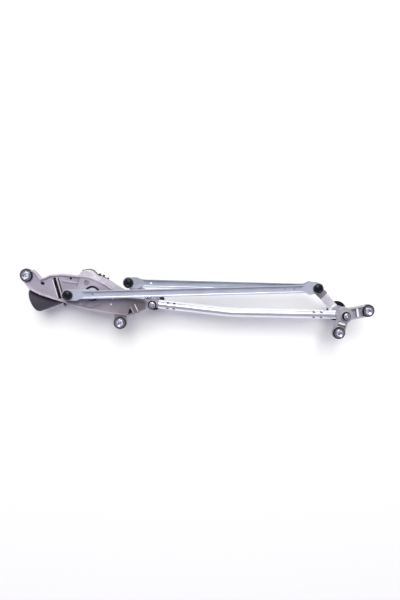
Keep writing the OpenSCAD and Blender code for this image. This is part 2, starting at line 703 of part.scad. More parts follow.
motor_bracket();
pivot_bracket();
frame_tube();
left_grommet();
lower_grommet();
right_grommet();
foot_grommet();
left_sleeve();
lower_sleeve();
right_sleeve();
foot_sleeve();
left_spindle_bushes();
right_spindle_bushes();
gear_housing();
gear_cover();
cover_screws();
output_bush();
output_seal();
brush_housing();
motor_can();
motor_magnets();
brush_plate();
rotor_bearings();
can_screws();
motor_screws();
connector_shell();
connector_pins();
output_shaft();
worm_wheel();
crank_arm();
crank_nut();
crank_ball();
rotor_shaft();
rotor_core();
commutator();
drive_bar();
drive_crank_socket();
drive_lever_socket();
drive_lever_ball();
tie_bar();
tie_left_socket();
tie_right_socket();
tie_left_ball();
right_spindle_shaft();
right_lever();
right_lever_ball();
right_spindle_cap();
right_end_ring();
left_spindle_shaft();
left_lever();
left_spindle_cap();
left_end_ring();
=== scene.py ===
import json
import math

import bmesh
import bpy
import numpy as np
from mathutils import Matrix, Vector


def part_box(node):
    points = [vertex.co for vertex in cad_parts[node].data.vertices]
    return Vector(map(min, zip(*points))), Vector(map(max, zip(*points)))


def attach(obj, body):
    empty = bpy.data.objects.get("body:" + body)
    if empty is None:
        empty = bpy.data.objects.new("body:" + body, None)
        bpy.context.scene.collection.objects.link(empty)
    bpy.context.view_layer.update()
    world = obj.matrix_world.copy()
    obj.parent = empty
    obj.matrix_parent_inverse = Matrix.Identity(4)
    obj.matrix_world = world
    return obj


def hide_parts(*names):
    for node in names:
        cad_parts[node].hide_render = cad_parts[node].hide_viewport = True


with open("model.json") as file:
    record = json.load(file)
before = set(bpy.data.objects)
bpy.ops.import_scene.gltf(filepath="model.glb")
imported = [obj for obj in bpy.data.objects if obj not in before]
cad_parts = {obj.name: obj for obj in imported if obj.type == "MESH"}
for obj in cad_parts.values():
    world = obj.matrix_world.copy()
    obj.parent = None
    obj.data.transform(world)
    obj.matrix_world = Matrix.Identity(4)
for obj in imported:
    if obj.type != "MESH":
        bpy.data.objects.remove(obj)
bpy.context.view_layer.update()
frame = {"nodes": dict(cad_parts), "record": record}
nodes = frame["nodes"]
scene = bpy.context.scene
scene.view_settings.view_transform = "Standard"
print("frame loaded:", len(nodes), "solids")

mm = 0.001

# camera: the photograph's standpoint, over the links and a little beyond the upper edge
view = {
    "place": (0.35705, 0.10218, 1.0),
    "right": (0.99946, 0.00516, 0.03249),
    "up": (0.0, 0.98763, -0.15687),
    "focalPixels": 440.47,
    "imageWidth": 400,
    "sensor": 36.0,
    "clipStart": 0.01,
}
cameraData = bpy.data.cameras.new("photoCamera")
cameraData.sensor_fit = "HORIZONTAL"
cameraData.sensor_width = view["sensor"]
cameraData.lens = view["sensor"] * view["focalPixels"] / view["imageWidth"]
cameraData.clip_start = view["clipStart"]
camera = bpy.data.objects.new("photoCamera", cameraData)
right = Vector(view["right"]).normalized()
back = right.cross(Vector(view["up"])).normalized()
up = back.cross(right)
camera.matrix_world = Matrix.Translation(view["place"]) @ Matrix((right, up, back)).transposed().to_4x4()
scene.collection.objects.link(camera)
scene.camera = camera

# light: one broad lamp for the part and one for the table, both from the photograph's top,
# in a room that is darker overhead than round about
light = {
    "lampPlace": (0.30, 1.85, 2.75), "lampSize": 1.8, "lampWatts": 120.0,
    "tablePlace": (0.42, 3.1, 5.6), "tableSize": 3.4, "tableWatts": 440.0,
    "lampTint": (1.0, 1.0, 0.92), "aim": (0.39, -0.06, 0.0),
    "room": ((0.0, 1.0), (0.30, 1.0), (0.60, 0.19), (0.86, 0.17), (0.94, 0.31), (1.0, 0.34)),
    "roomTint": (0.96, 0.925, 1.16),
    "floorDrop": 0.0972, "floorReach": 6.0, "floorColour": (0.92, 0.92, 0.92), "floorGlow": 0.06,
}


def nodeTree(owner):
    owner.use_nodes = True
    tree = owner.node_tree
    tree.nodes.clear()
    return tree


def addNode(tree, kind, **values):
    # makes one shader node; socket names with spaces are written with _
    made = tree.nodes.new(kind)
    for key, value in values.items():
        if key.startswith("in_"):
            made.inputs[key[3:].replace("_", " ")].default_value = value
        else:
            setattr(made, key, value)
    return made


def ramp(tree, stops, source, smooth=False):
    made = addNode(tree, "ShaderNodeValToRGB")
    bar = made.color_ramp
    bar.interpolation = "EASE" if smooth else "LINEAR"
    for i, (place, shade) in enumerate(stops):
        stop = bar.elements[i] if i < 2 else bar.elements.new(place)
        stop.position = place
        stop.color = (*shade, 1) if isinstance(shade, (tuple, list)) else (shade, shade, shade, 1)
    tree.links.new(source, made.inputs[0])
    return made


def addLamp(name, place, size, watts):
    data = bpy.data.lights.new(name, "AREA")
    data.energy = watts
    data.size = size
    data.color = light["lampTint"]
    lamp = bpy.data.objects.new(name, data)
    lamp.location = place
    lamp.rotation_euler = (Vector(light["aim"]) - Vector(place)).to_track_quat("-Z", "Y").to_euler()
    scene.collection.objects.link(lamp)
    return lamp


def setRoom():
    # brightness by the height of the direction: 1 is straight up, 0 the horizon
    world = bpy.data.worlds.new("room")
    scene.world = world
    tree = nodeTree(world)
    out = addNode(tree, "ShaderNodeOutputWorld")
    shade = addNode(tree, "ShaderNodeBackground", in_Strength=1.0)
    where = addNode(tree, "ShaderNodeTexCoord")
    split = addNode(tree, "ShaderNodeSeparateXYZ")
    tree.links.new(where.outputs["Generated"], split.inputs[0])
    stops = [(height, [tone * t for t in light["roomTint"]]) for height, tone in light["room"]]
    tones = ramp(tree, stops, split.outputs["Z"], True)
    tree.links.new(tones.outputs[0], shade.inputs["Color"])
    tree.links.new(shade.outputs[0], out.inputs[0])


def setTable():
    reach = light["floorReach"]
    corners = [(-reach, -reach, 0), (reach, -reach, 0), (reach, reach, 0), (-reach, reach, 0)]
    floorMesh = bpy.data.meshes.new("floor")
    floorMesh.from_pydata(corners, [], [(0, 1, 2, 3)])
    floor = bpy.data.objects.new("floor", floorMesh)
    floor.location = (*light["aim"][:2], -light["floorDrop"])
    scene.collection.objects.link(floor)

    # a little glow where the table is seen straight, mirrored or through something, plain matte elsewhere
    tone = bpy.data.materials.new("paleFloor")
    tree = nodeTree(tone)
    out = addNode(tree, "ShaderNodeOutputMaterial")
    matte = addNode(tree, "ShaderNodeBsdfDiffuse", in_Color=(*light["floorColour"], 1))
    glow = addNode(tree, "ShaderNodeEmission", in_Strength=1.0)
    glowing = addNode(tree, "ShaderNodeMixShader", in_Fac=light["floorGlow"])
    path = addNode(tree, "ShaderNodeLightPath")
    direct = addNode(tree, "ShaderNodeMath", operation="ADD", use_clamp=True)
    straight = addNode(tree, "ShaderNodeMath", operation="ADD", use_clamp=True)
    seen = addNode(tree, "ShaderNodeMixShader")
    tree.links.new(matte.outputs[0], glowing.inputs[1])
    tree.links.new(glow.outputs[0], glowing.inputs[2])
    tree.links.new(path.outputs["Is Camera Ray"], direct.inputs[0])
    tree.links.new(path.outputs["Is Glossy Ray"], direct.inputs[1])
    tree.links.new(direct.outputs[0], straight.inputs[0])
    tree.links.new(path.outputs["Is Transmission Ray"], straight.inputs[1])
    tree.links.new(straight.outputs[0], seen.inputs[0])
    tree.links.new(matte.outputs[0], seen.inputs[1])
    tree.links.new(glowing.outputs[0], seen.inputs[2])
    tree.links.new(seen.outputs[0], out.inputs[0])
    floorMesh.materials.append(tone)
    return floor


def setLamps(floor):
    # one lamp is for the part alone and the other, broader, for the table alone
    topLamp = addLamp("topLamp", light["lampPlace"], light["lampSize"], light["lampWatts"])
    tableLamp = addLamp("tableLamp", light["tablePlace"], light["tableSize"], light["tableWatts"])
    for lamp, state in ((topLamp, "EXCLUDE"), (tableLamp, "INCLUDE")):
        receivers = bpy.data.collections.new(lamp.name + "Table")
        receivers.objects.link(floor)
        receivers.collection_objects[0].light_linking.link_state = state
        lamp.light_linking.receiver_collection = receivers


setRoom()
setLamps(setTable())
print("camera and light set")


# finishes: a base colour with darker and paler blotches and a fine grain in the bump; "even" keeps one
# roughness, and each of "fades" has a start, an end (millimetres) and the colour's factor from the end on. The
# fades paint shade and light onto the surfaces, except lugShade's, which is the lug's own paler colour.
finishes = {
    "cast": {"colour": (0.46, 0.43, 0.51), "metal": 0.40, "rough": 0.40,
             "blotch": 22, "spread": 0.12, "grain": 900, "bump": 0.10},
    "castBracket": {"colour": (0.56, 0.515, 0.62), "metal": 0.40, "rough": 0.40,
                    "blotch": 22, "spread": 0.12, "grain": 900, "bump": 0.10,
                    # painted light in the fades: darker towards the lower side and towards the spindle end,
                    # painted shade; darker below the rims' tops, painted shade in the trays; paler again at the
                    # tip, painted light
                    "fades": (((100, -28), (108, -62), (0.82, 0.81, 0.80)),
                              ((176, -52), (268, -78), (0.50, 0.48, 0.45)),
                              ((0, 0, 4.5), (0, 0, 2.8), (0.77, 0.77, 0.77)),
                              ((262, -70), (271, -69), (2.5, 2.55, 2.7)))},
    "castPivot": {"colour": (0.47, 0.455, 0.52), "metal": 0.40, "rough": 0.38,
                  "blotch": 30, "spread": 0.10, "grain": 900, "bump": 0.08,
                  # painted shade: darker below the rims' tops, in the arms' trays
                  "fades": (((0, 0, 3.2), (0, 0, 1.6), (0.76, 0.75, 0.76)),)},
    # the gear housing's neck and flange fade to near black: painted shade, seen through the bracket's slot
    "castNeckShaded": {"colour": (0.58, 0.57, 0.63), "metal": 0.40, "rough": 0.38,
                 "blotch": 30, "spread": 0.08, "grain": 900, "bump": 0.08,
                 "fades": (((84.9, -30.4), (79.1, -28.6), (0.02, 0.02, 0.024)),)},
    "castLight": {"colour": (0.58, 0.57, 0.63), "metal": 0.40, "rough": 0.38,
                  "blotch": 30, "spread": 0.08, "grain": 900, "bump": 0.08},
    "zincTube": {"colour": (0.88, 0.90, 0.96), "metal": 0.80, "rough": 0.29, "even": True,
                 "blotch": 40, "spread": 0.04, "grain": 420, "bump": 0.01},
    "zincLink": {"colour": (0.595, 0.625, 0.73), "metal": 0.50, "rough": 0.32, "even": True,
                 "blotch": 26, "spread": 0.08, "grain": 420, "bump": 0.02},
    # the tie link's copy of the link zinc, made darker: painted shade
    "zincTieShaded": {"colour": (0.45, 0.475, 0.56), "metal": 0.50, "rough": 0.32, "even": True,
                "blotch": 26, "spread": 0.08, "grain": 420, "bump": 0.02},
    "leverSteel": {"colour": (0.95, 0.93, 0.99), "metal": 1.0, "rough": 0.20, "even": True,
                   "blotch": 34, "spread": 0.08, "grain": 500, "bump": 0.03},
    "leverPale": {"colour": (0.97, 0.97, 1.0), "metal": 0.45, "rough": 0.32, "even": True,
                  "blotch": 34, "spread": 0.06, "grain": 500, "bump": 0.03,
                  # the fade darkens the flat part by the ball end: a painted dark reflection of the overhead
                  "fades": (((681.5, -49.5), (679.5, -47.5), (0.36, 0.33, 0.335)),)},
    "lugShade": {"colour": (0.50, 0.49, 0.53), "metal": 0.4, "rough": 0.45,
                 "blotch": 50, "spread": 0.10, "grain": 900, "bump": 0.05,
                 "fades": (((77, -70), (77, -66), (0.02, 0.02, 0.024)),)},
    "steel": {"colour": (0.78, 0.80, 0.86), "metal": 1.0, "rough": 0.24,
              "blotch": 60, "spread": 0.06, "grain": 600, "bump": 0.02},
    "washerSteel": {"colour": (0.36, 0.37, 0.43), "metal": 0.9, "rough": 0.30, "even": True,
                    "blotch": 60, "spread": 0.10, "grain": 600, "bump": 0.02},
    # painted light: the white of highlights on ribs and rims, and of the lit table seen through two holes
    "paintedLightWhite": {"colour": (0.93, 0.93, 0.96), "metal": 0.15, "rough": 0.45, "even": True,
                   "blotch": 60, "spread": 0.03, "grain": 700, "bump": 0.02},
    # painted shade, at the dents' floors and along the foot of the pad's step
    "crimpShade": {"colour": (0.10, 0.10, 0.12), "metal": 0.3, "rough": 0.5, "even": True,
                   "blotch": 60, "spread": 0.10, "grain": 700, "bump": 0.02},
    "screwSteel": {"colour": (0.34, 0.32, 0.38), "metal": 0.6, "rough": 0.42,
                   "blotch": 60, "spread": 0.10, "grain": 700, "bump": 0.05},
    "rubber": {"colour": (0.019, 0.018, 0.025), "metal": 0.0, "rough": 0.62, "shine": 0.15,
               "blotch": 80, "spread": 0.20, "grain": 700, "bump": 0.06},
    "blackPaintShadowed": {"colour": (0.066, 0.060, 0.080), "metal": 0.0, "rough": 0.50, "shine": 0.12,
                   "blotch": 40, "spread": 0.15, "grain": 700, "bump": 0.03,
                   # the fade darkens the can towards the bracket's edge: the bracket's painted shadow
                   "fades": (((42, -64), (46, -54), (0.14, 0.13, 0.15)),)},
    "blackPlastic": {"colour": (0.010, 0.010, 0.013), "metal": 0.0, "rough": 0.5, "shine": 0.3,
                     "blotch": 50, "spread": 0.15, "grain": 900, "bump": 0.05},
    "blackMatte": {"colour": (0.006, 0.006, 0.009), "metal": 0.0, "rough": 0.6, "shine": 0.1,
                   "blotch": 60, "spread": 0.10, "grain": 700, "bump": 0.02},
    "blackGloss": {"colour": (0.006, 0.006, 0.010), "metal": 0.0, "rough": 0.20, "shine": 0.30,
                   "blotch": 70, "spread": 0.15, "grain": 500, "bump": 0.01},
    "bronze": {"colour": (0.42, 0.28, 0.13), "metal": 1.0, "rough": 0.42,
               "blotch": 60, "spread": 0.12, "grain": 900, "bump": 0.05},
    "copper": {"colour": (0.62, 0.30, 0.16), "metal": 1.0, "rough": 0.3,
               "blotch": 60, "spread": 0.12, "grain": 900, "bump": 0.02},
    "ferrite": {"colour": (0.06, 0.06, 0.065), "metal": 0.0, "rough": 0.6,
                "blotch": 50, "spread": 0.2, "grain": 900, "bump": 0.06},
    "whitePlastic": {"colour": (0.66, 0.63, 0.54), "metal": 0.0, "rough": 0.45,
                     "blotch": 50, "spread": 0.06, "grain": 900, "bump": 0.02},
    "board": {"colour": (0.26, 0.18, 0.09), "metal": 0.0, "rough": 0.6,
              "blotch": 90, "spread": 0.2, "grain": 900, "bump": 0.03},
}
mottle = {"low": 0.3, "high": 0.7, "smoother": 0.85, "rougher": 1.2, "bumpDepth": 0.0006, "shine": 0.5}


def fadeColour(tree, where, colour, start, end, keep):
    # the colour changes evenly from one point to another, in plan where no height is given:
    # share = (p - start).span / |span|^2
    start, end = (np.array([*point, 0.0][:3]) * mm for point in (start, end))
    span = (end - start) / ((end - start) @ (end - start))
    reach = addNode(tree, "ShaderNodeVectorMath", operation="DOT_PRODUCT")
    reach.inputs[1].default_value = tuple(span)
    tree.links.new(where, reach.inputs[0])
    share = addNode(tree, "ShaderNodeMath", operation="SUBTRACT")
    share.inputs[1].default_value = float(start @ span)
    tree.links.new(reach.outputs["Value"], share.inputs[0])
    depth = ramp(tree, [(0.0, 1.0), (1.0, keep)], share.outputs[0], True)
    changed = addNode(tree, "ShaderNodeMix", data_type="RGBA", blend_type="MULTIPLY")
    changed.inputs[0].default_value = 1.0
    tree.links.new(colour, changed.inputs[6])  # 6, 7 and output 2 are the node's colours
    tree.links.new(depth.outputs[0], changed.inputs[7])
    return changed.outputs[2]


def makeFinish(name):
    # colour = base * (1 +- spread by slow noise); bump = fast noise
    spec = finishes[name]
    made = bpy.data.materials.new(name)
    tree = nodeTree(made)
    out = addNode(tree, "ShaderNodeOutputMaterial")
    skin = addNode(tree, "ShaderNodeBsdfPrincipled", in_Metallic=spec["metal"],
                   in_Specular_IOR_Level=spec.get("shine", mottle["shine"]))
    where = addNode(tree, "ShaderNodeTexCoord").outputs["Object"]
    slow = addNode(tree, "ShaderNodeTexNoise", in_Scale=spec["blotch"], in_Detail=4.0)
    tree.links.new(where, slow.inputs["Vector"])
    low = [c * (1 - spec["spread"]) for c in spec["colour"]]
    high = [min(1.0, c * (1 + spec["spread"])) for c in spec["colour"]]
    colour = ramp(tree, [(mottle["low"], low), (mottle["high"], high)], slow.outputs[0]).outputs[0]
    for start, end, keep in spec.get("fades", ()):
        colour = fadeColour(tree, where, colour, start, end, keep)
    tree.links.new(colour, skin.inputs["Base Color"])
    rough = spec["rough"]
    if spec.get("even"):
        skin.inputs["Roughness"].default_value = rough
    else:
        smooth, dull = rough * mottle["smoother"], min(1.0, rough * mottle["rougher"])
        sheen = ramp(tree, [(mottle["low"], smooth), (mottle["high"], dull)], slow.outputs[0])
        tree.links.new(sheen.outputs[0], skin.inputs["Roughness"])
    fast = addNode(tree, "ShaderNodeTexNoise", in_Scale=spec["grain"], in_Detail=2.0)
    tree.links.new(where, fast.inputs["Vector"])
    bump = addNode(tree, "ShaderNodeBump", in_Strength=spec["bump"], in_Distance=mottle["bumpDepth"])
    tree.links.new(fast.outputs[0], bump.inputs["Height"])
    tree.links.new(bump.outputs[0], skin.inputs["Normal"])
    tree.links.new(skin.outputs[0], out.inputs[0])
    return made


materials = {name: makeFinish(name) for name in finishes}
slotFinish = {
    "cast": "cast", "cast_light": "castLight", "zinc_tube": "zincTube", "zinc_link": "zincLink",
    "lever_steel": "leverSteel", "steel": "steel", "rubber": "rubber", "black_paint": "blackPaintShadowed",
    "black_plastic": "blackPlastic", "black_gloss": "blackGloss", "bronze": "bronze", "copper": "copper",
    "ferrite": "ferrite", "white_plastic": "whitePlastic", "board": "board",
}
nodeSlot = {s["node"]: s["material_slot"] for s in frame["record"]["subparts"]}
bodyNodes = frame["record"]["behaviour"]["bodies"]
nodeBody = {node: body for body, members in bodyNodes.items() for node in members}


def paint(piece, slot, finish=None):
    piece.data.materials.clear()
    piece.data.materials.append(materials[finish or slotFinish[slot]])


def middle(node):
    # plan centre of a round node, in millimetres
    low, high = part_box(node)
    return tuple(round((low[k] + high[k]) / 2 / mm, 2) for k in (0, 1))


for name, solid in nodes.items():
    paint(solid, nodeSlot[name])
print("finishes on", len(nodes), "solids")

# shapes: points on a grid of two parameters, put into a mesh in one go
weld = {"merge": 2e-7, "sliver": 1e-8}  # metres
sharpAngle = {"grid": 38, "lever": 50, "solid": 50}


def gridFaces(rows, columns, closeRows, closeColumns):
    # quad (i, j) joins the grid points i, i+1 and j, j+1, wrapping where the grid closes
    quadRows, quadColumns = rows if closeRows else rows - 1, columns if closeColumns else columns - 1
    i, j = np.meshgrid(np.arange(quadRows), np.arange(quadColumns), indexing="ij")
    iNext, jNext = (i + 1) % rows, (j + 1) % columns
    corners = [i * columns + j, iNext * columns + j, iNext * columns + jNext, i * columns + jNext]
    return np.stack(corners, -1).reshape(-1, 4)


def smoothed(mesh, angle):
    # smooth faces, with a crease where they meet at more than the angle
    mesh.polygons.foreach_set("use_smooth", np.ones(len(mesh.polygons), bool))
    mesh.set_sharp_from_angle(angle=math.radians(angle))


def putPiece(name, points, faces, body, slot, replaced=(), finish=None, sharp=sharpAngle["grid"]):
    # welds the grid's poles and seams, turns the faces outwards and rides the piece on its body
    mesh = bpy.data.meshes.new(name)
    mesh.from_pydata(points.reshape(-1, 3).tolist(), [], faces.tolist())
    work = bmesh.new()
    work.from_mesh(mesh)
    bmesh.ops.remove_doubles(work, verts=work.verts, dist=weld["merge"])
    bmesh.ops.dissolve_degenerate(work, edges=work.edges, dist=weld["sliver"])
    bmesh.ops.recalc_face_normals(work, faces=work.faces)
    work.to_mesh(mesh)
    work.free()
    smoothed(mesh, sharp)
    piece = bpy.data.objects.new(name, mesh)
    scene.collection.objects.link(piece)
    paint(piece, slot, finish)
    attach(piece, body)
    if replaced:
        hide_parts(*replaced)
    return piece


def rounded(corners, radius, steps=4):
    # each corner p of a closed outline becomes the curve (1-t)^2 a + 2t(1-t) p + t^2 b,
    # with a and b on its two sides, less than half a side away
    p = np.array(corners, float)
    before, after = np.roll(p, 1, 0) - p, np.roll(p, -1, 0) - p
    lengthBefore = np.linalg.norm(before, axis=1, keepdims=True)
    lengthAfter = np.linalg.norm(after, axis=1, keepdims=True)
    a = p + before / lengthBefore * np.minimum(radius, lengthBefore * 0.45)
    b = p + after / lengthAfter * np.minimum(radius, lengthAfter * 0.45)
    t = np.linspace(0, 1, steps)[None, :, None]
    return ((1 - t) ** 2 * a[:, None] + 2 * t * (1 - t) * p[:, None] + t ** 2 * b[:, None]).reshape(-1, 2)


def turned(name, node, body, slot, profile, centre, steps=72, wave=None, finish=None):
    # point(i, a) = centre + (r_i cos a, r_i sin a, z_i), with r changed by wave(r, z, a) where one is given
    a = np.linspace(0, 2 * math.pi, steps, endpoint=False)
    r, z = profile[:, :1] * np.ones_like(a), profile[:, 1:] * np.ones_like(a)
    if wave:
        r = wave(r, z, a[None, :])
    points = np.stack([r * np.cos(a), r * np.sin(a), z], -1) * mm + np.array([*centre, 0]) * mm
    faces = gridFaces(len(profile), steps, True, True)
    putPiece(name, points, faces, body, slot, [node] if node else (), finish)


# rubber bushes with steel sleeves, whose washers cover the bushes' near ends, and a bevelled collar in each
mountSides = ("left", "lower", "right", "foot")
bush = {
    "outer": 14.0, "groove": 10.5, "inner": 6.5, "near": 6.2, "far": -9.5, "grooveEnds": (-5, 1),
    "farBevel": (1.6, 1.5), "nearBevel": (0.7, 0.9), "round": 0.5,
}
sleeve = {
    "bore": 4.25, "outer": 6.5, "washer": 11.6, "near": 8.8, "far": -10, "round": 0.25,
    "washerThick": 1.2, "recess": (0.6, 0.7), "recessFloor": 0.82, "step": 0.9,
}
collar = {
    "outer": 8.5, "gap": 0.1, "flange": 1.0, "rim": (0.7, 0.2), "lip": 1.2, "mouth": (0.5, 2.0), "throat": 2.3,
}


def bushOutline():
    # (radius, height), from the far end round the groove to the near end
    inner, outer, groove, far, near = (bush[key] for key in ("inner", "outer", "groove", "far", "near"))
    grooveFar, grooveNear = bush["grooveEnds"]
    farBevel, nearBevel = bush["farBevel"], bush["nearBevel"]
    return rounded([
        (inner, far), (outer - farBevel[0], far), (outer, far + farBevel[1]), (outer, grooveFar),
        (groove, grooveFar), (groove, grooveNear), (outer, grooveNear), (outer, near - nearBevel[1]),
        (outer - nearBevel[0], near), (inner, near)], bush["round"])


def sleeveOutline():
    # the tube through the bush and the washer on it, with a narrow groove round the collar's seat
    bore, outer, washer, far = (sleeve[key] for key in ("bore", "outer", "washer", "far"))
    seat, (narrow, wide), rim = bush["near"], sleeve["recess"], collar["outer"]
    top, floor, step = (seat + sleeve[key] for key in ("washerThick", "recessFloor", "step"))
    return rounded([
        (bore, far), (outer, far), (outer, seat), (washer, seat), (washer, top), (rim + wide, top),
        (rim + narrow, floor), (rim, floor), (rim, step), (outer, step)], sleeve["round"])


def collarOutline():
    # a ring that stands in the sleeve's end, its top sloping down into the bore
    bore, near, seat, rim, gap = sleeve["bore"], sleeve["near"], bush["near"], collar["outer"], collar["gap"]
    foot, flange = sleeve["outer"] - gap, seat + collar["flange"]
    return rounded([
        (bore, seat), (foot, seat), (foot, flange), (rim - gap, flange),
        (rim - collar["rim"][0], near - collar["rim"][1]), (rim - collar["lip"], near),
        (bore + collar["mouth"][0], near - collar["mouth"][1]), (bore, near - collar["throat"]),
    ], sleeve["round"])


for side in mountSides:
    grommet, place = side + "_grommet", middle(side + "_sleeve")
    turned(side + "Bush", grommet, "frame", "rubber", bushOutline(), middle(grommet))
    turned(side + "Sleeve", side + "_sleeve", "frame", "steel", sleeveOutline(), place, finish="washerSteel")
    turned(side + "Collar", None, "frame", "steel", collarOutline(), place)
print("bushes and sleeves made")

# ball sockets: black moulded caps with rings round the crown; outlines in (radius, height over the web)
cap = {
    "ballRise": 1, "cavity": 6.8, "cavityFrom": -50, "openTo": 50, "closedTo": 90, "round": 0.35,
    "skirt": ((5, -5), (9.4, -5), (10.6, -3.4), (10.6, 0), (9, 0), (9, 1.6), (11.3, 1.6)),
    "openCrown": ((11.3, 5.8), (10.2, 8.4), (5, 8.7)),
    "closedCrown": ((11.3, 5.6), (10.9, 7.2), (10.2, 8.4), (9.0, 9.4), (8.4, 9.2), (7.8, 9.9), (6.6, 10.5),
                    (6.0, 10.1), (5.0, 10.1), (4.4, 10.75), (2.4, 10.9), (0, 10.9)),
}
joints = {
    "driveCrankCap": {"node": "drive_crank_socket", "body": "drive_link", "web": 19, "openTop": False},
    "driveLeverCap": {"node": "drive_lever_socket", "body": "drive_link", "web": 19, "openTop": False},
    "tieLeftCap": {"node": "tie_left_socket", "body": "tie_link", "web": 3, "openTop": False},
    "tieRightCap": {"node": "tie_right_socket", "body": "tie_link", "web": 3, "openTop": True},
}


def capOutline(web, openTop):
    # outside: skirt and crown, with the closed crown brought to one point on the axis; inside: the ball's arc
    arc = np.radians(np.linspace(cap["cavityFrom"], cap["openTo" if openTop else "closedTo"], 14))
    ball = web + cap["ballRise"]
    cavity = np.stack([cap["cavity"] * np.cos(arc), ball + cap["cavity"] * np.sin(arc)], -1)[::-1]
    corners = cap["skirt"] + cap["openCrown" if openTop else "closedCrown"]
    outside = rounded([(radius, web + height) for radius, height in corners], cap["round"])
    if openTop:
        outside = outside[1:-1]
    else:
        outside = np.concatenate([outside[2:-4], [[0, web + corners[-1][1]]]])
    return np.concatenate([outside, cavity])


for name, spec in joints.items():
    outline = capOutline(spec["web"], spec["openTop"])
    turned(name, spec["node"], spec["body"], "black_gloss", outline, middle(spec["node"]))
print("ball caps made")

# the frame tube: a circle carried along a path with one smooth bend, pressed in where it is crimped
tube = {
    "radius": 10.2, "wall": 1.8, "height": -21, "leftDrop": 2, "rightDrop": 2.8, "start": 12.3,
    "bend": (460, -89), "bendLength": 13, "endZone": 64, "leftDents": (34.5, 49), "rightDents": (50, 68),
    "dentTurn": 46, "dentDepth": 2.8, "dentLength": 3.4, "dentWidth": 0.30,
}


def makeTube():
    # centre(s) runs along two straight lines joined by a parabola over the bend;
    # point = centre + r(s, a)(cos a up + sin a across);
    # a dent takes exp(-(s/length)^4 - (a/width)^4) of its depth from r
    bend = np.array(tube["bend"], float)
    leftEnd = np.array(middle("left_spindle_shaft")) - (0, tube["leftDrop"])
    rightEnd = np.array(middle("right_spindle_shaft")) - (0, tube["rightDrop"])
    toLeft, toRight = leftEnd - bend, rightEnd - bend
    leftLength, rightLength = np.linalg.norm(toLeft) - tube["start"], np.linalg.norm(toRight) - tube["start"]
    toLeft, toRight = toLeft / np.linalg.norm(toLeft), toRight / np.linalg.norm(toRight)
    reach, endZone = tube["bendLength"], tube["endZone"]
    fine = np.linspace(0, endZone, 2 * endZone + 1)
    s = np.unique(np.concatenate([
        -leftLength + fine, np.linspace(-leftLength + endZone, -reach, 12), np.linspace(-reach, reach, 25),
        np.linspace(reach, rightLength - endZone, 16), rightLength - fine]))
    k = np.clip((s / reach + 1) / 2, 0, 1)[:, None]
    curve = bend + ((1 - k) ** 2) * toLeft * reach + k ** 2 * toRight * reach
    straight = bend + np.where(s[:, None] < 0, -s[:, None] * toLeft, s[:, None] * toRight)
    centre = np.where(np.abs(s[:, None]) < reach, curve, straight)
    along = np.gradient(centre, axis=0)
    along /= np.linalg.norm(along, axis=1, keepdims=True)
    across = np.stack([-along[:, 1], along[:, 0], np.zeros(len(s))], -1)
    a = np.linspace(0, 2 * math.pi, 128, endpoint=False)
    dent = np.zeros((len(s), len(a)))
    ends = [-leftLength + place - tube["start"] for place in tube["leftDents"]]
    ends += [rightLength - place + tube["start"] for place in tube["rightDents"]]
    for end in ends:
        for turn in (-tube["dentTurn"], tube["dentTurn"]):
            away = (a - math.radians(turn) + math.pi) % (2 * math.pi) - math.pi
            dent += np.exp(-((s[:, None] - end) / tube["dentLength"]) ** 4 - (away / tube["dentWidth"]) ** 4)
    outer = tube["radius"] - tube["dentDepth"] * np.minimum(dent, 1)
    inner = np.full_like(outer, tube["radius"] - tube["wall"])
    middleLine = np.concatenate([centre, np.full((len(s), 1), tube["height"])], 1)[:, None]
    upward = np.array([0, 0, 1.0])
    spokes = np.cos(a)[None, :, None] * upward + np.sin(a)[None, :, None] * across[:, None]
    outside, inside = ((middleLine + r[..., None] * spokes) * mm for r in (outer, inner))
    points = np.concatenate([outside, inside[::-1]])
    faces = gridFaces(len(points), len(a), True, True)
    putPiece("frameTube", points, faces, "frame", "zinc_tube", ["frame_tube"])
    rows = [int(np.argmin(np.abs(s - end))) for end in ends]
    return [(centre[row], along[row], across[row]) for row in rows]


dentPlaces = makeTube()
print("tube made")

# spindles: steel shafts with a splined cone and a threaded end on the far side, black caps and end rings
spindle = {
    "radius": 7, "nearEnd": 18, "farEnd": -96, "centreHole": 1.6, "margin": 0.2,
    "cone": (-84, -74), "coneRoot": 4.5, "coneFoot": 5.4, "coneSlope": 0.09,
    "splines": 40, "splineDepth": 0.32,
    "thread": (-95.4, -84.2), "threadRoot": 3.2, "threadRadius": 4.0, "pitch": 1.25, "threadDepth": 0.38,
    "cap": ((7, -66), (11.8, -66), (13.6, -64.2), (16.6, -63.7), (23.2, -61), (24.5, -59.6), (24.5, -57),
            (23.6, -56), (7, -56)),
    "capRound": 0.8,
    "ring": ((7, 10.3), (9.8, 10.3), (9.8, 14.4), (8.8, 15.6), (7.9, 15.6), (7.5, 15.1), (7, 15.1)),
    "ringRound": 0.4,
}


def spindleWave(r, z, a):
    # cone: cosine splines round the axis; thread: a saw-edged helix, both kept inside the plain shape
    coneFar, coneNear = spindle["cone"]
    threadFar, threadNear = spindle["thread"]
    onCone = (z < coneNear) & (z > coneFar) & (r > spindle["coneRoot"])
    onThread = (z <= threadNear) & (z > threadFar) & (r > spindle["threadRoot"])
    splines = -spindle["splineDepth"] * (0.5 + 0.5 * np.cos(a * spindle["splines"]))
    turns = (z - spindle["farEnd"]) / spindle["pitch"] + a / (2 * math.pi)
    helix = -spindle["threadDepth"] * np.abs(2 * (turns % 1) - 1)
    return r + np.where(onCone, splines, 0) + np.where(onThread, helix, 0)


